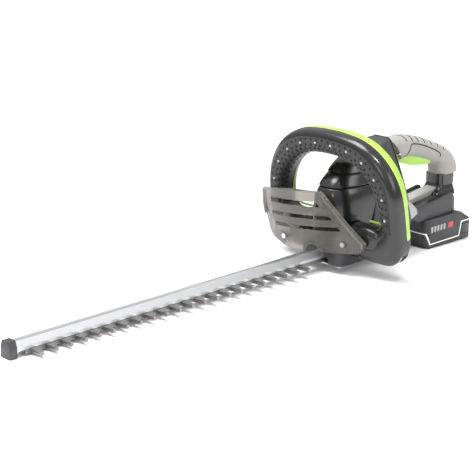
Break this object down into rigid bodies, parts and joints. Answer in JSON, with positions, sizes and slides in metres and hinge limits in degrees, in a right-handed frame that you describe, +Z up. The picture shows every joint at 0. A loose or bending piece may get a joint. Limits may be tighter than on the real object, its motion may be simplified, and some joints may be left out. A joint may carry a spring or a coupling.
{
  "type": "hedge trimmer",
  "caption": "Cordless double-blade hedge trimmer with an aluminium blade rail, loop front handle, clear hand guard, rear trigger handle and slide-on battery.",
  "frame": {"origin": "middle of the bounding box at the underside of the battery", "axes": "+X along the blade towards its tip, +Y to the left of the user, +Z up"},
  "size_m": [0.8119, 0.2434, 0.1983],
  "materials": {
    "alu_rail": "extruded and brushed along its length",
    "blade_steel": "ground and hardened steel",
    "machine_steel": "turned or zinc plated steel",
    "black_gloss": "satin to gloss moulded plastic",
    "dark_casing": "fine textured moulded plastic",
    "lime": "lime moulded plastic, satin gloss",
    "soft_black": "soft overmould with raised studs",
    "soft_grey": "warm light grey soft overmould",
    "smoke_clear": "smoke tinted clear polycarbonate",
    "light_trim": "light grey moulded plastic",
    "white_trim": "white inlay",
    "battery_plastic": "charcoal moulded plastic",
    "cell_wrap": "shrink wrapped cells",
    "board_green": "circuit board",
    "insulation": "lead insulation",
    "spring_steel": "spring wire"
  },
  "bodies": {
    "body": {"base_plate": "machine_steel", "base_plate_screws": "machine_steel", "battery_foot": "dark_casing", "beam_cover": "light_trim", "blade_bolts": "machine_steel", "blade_rail": "alu_rail", "control_board": "board_green", "crank_bearings": "machine_steel", "front_microswitch": "dark_casing", "front_switch_springs": "spring_steel", "gear_case": "dark_casing", "guard_screws": "machine_steel", "hand_guard": "smoke_clear", "housing_left": "dark_casing", "housing_right": "dark_casing", "housing_screws": "machine_steel", "loop_front": "black_gloss", "loop_rear": "lime", "loop_soft_insert": "soft_black", "motor_can": "machine_steel", "motor_end_cap": "dark_casing", "motor_hood": "black_gloss", "motor_leads": "insulation", "motor_mount": "machine_steel", "rail_end_cap": "dark_casing", "rear_grip": "soft_grey", "terminal_block": "dark_casing", "trigger_pin": "machine_steel", "trigger_spring": "spring_steel", "trigger_switch": "dark_casing"},
    "crank": {"crank_shaft": "machine_steel", "drive_gear": "machine_steel", "eccentric_upper": "machine_steel", "eccentric_lower": "machine_steel"},
    "rotor": {"motor_shaft": "machine_steel", "motor_rotor": "machine_steel", "motor_fan": "black_gloss", "pinion": "machine_steel"},
    "upper_blade": {"blade_upper": "blade_steel"},
    "lower_blade": {"blade_lower": "blade_steel"},
    "trigger": {"trigger": "lime"},
    "switch_bar": {"front_switch_bar": "black_gloss"},
    "battery": {"battery_case_lower": "battery_plastic", "battery_case_upper": "battery_plastic", "battery_trim": "white_trim", "battery_cells": "cell_wrap", "battery_board": "board_green", "button_spring_left": "spring_steel", "button_spring_right": "spring_steel"},
    "battery_button_left": {"battery_button_left": "black_gloss"},
    "battery_button_right": {"battery_button_right": "black_gloss"}
  },
  "joints": [
    {"name": "crank_spin", "type": "hinge", "parent": "body", "child": "crank", "pos_m": [-0.169, 0, 0.03], "axis": [0, 0, 1], "continuous": true},
    {"name": "motor_spin", "type": "hinge", "parent": "body", "child": "rotor", "pos_m": [-0.209, 0, 0.05], "axis": [0, 0, 1], "continuous": true},
    {"name": "upper_blade_slide", "type": "slide", "parent": "body", "child": "upper_blade", "axis": [1, 0, 0], "range_m": [-0.008, 0.008]},
    {"name": "lower_blade_slide", "type": "slide", "parent": "body", "child": "lower_blade", "axis": [1, 0, 0], "range_m": [-0.008, 0.008]},
    {"name": "trigger_pull", "type": "hinge", "parent": "body", "child": "trigger", "pos_m": [-0.261, 0, 0.146], "axis": [0, 1, 0], "range_deg": [0, 7], "stiffness_Nm_per_rad": 0.3, "springref_deg": -14.32, "deforming": ["trigger_spring"]},
    {"name": "front_switch_squeeze", "type": "slide", "parent": "body", "child": "switch_bar", "axis": [0.0872, 0, 0.9962], "range_m": [0, 0.004], "stiffness_N_per_m": 400, "springref_m": -0.003, "deforming": ["front_switch_springs"]},
    {"name": "battery_slide", "type": "slide", "parent": "body", "child": "battery", "axis": [-1, 0, 0], "range_m": [0, 0.095]},
    {"name": "battery_button_left_press", "type": "slide", "parent": "battery", "child": "battery_button_left", "axis": [0, -1, 0], "range_m": [0, 0.002], "stiffness_N_per_m": 500, "springref_m": -0.002, "deforming": ["button_spring_left"]},
    {"name": "battery_button_right_press", "type": "slide", "parent": "battery", "child": "battery_button_right", "axis": [0, 1, 0], "range_m": [0, 0.002], "stiffness_N_per_m": 500, "springref_m": -0.002, "deforming": ["button_spring_right"]}
  ],
  "couplings": [
    {"joint": "motor_spin", "follows": "crank_spin", "ratio": -4.3333},
    {"joint": "lower_blade_slide", "follows": "upper_blade_slide", "ratio": -1}
  ]
}
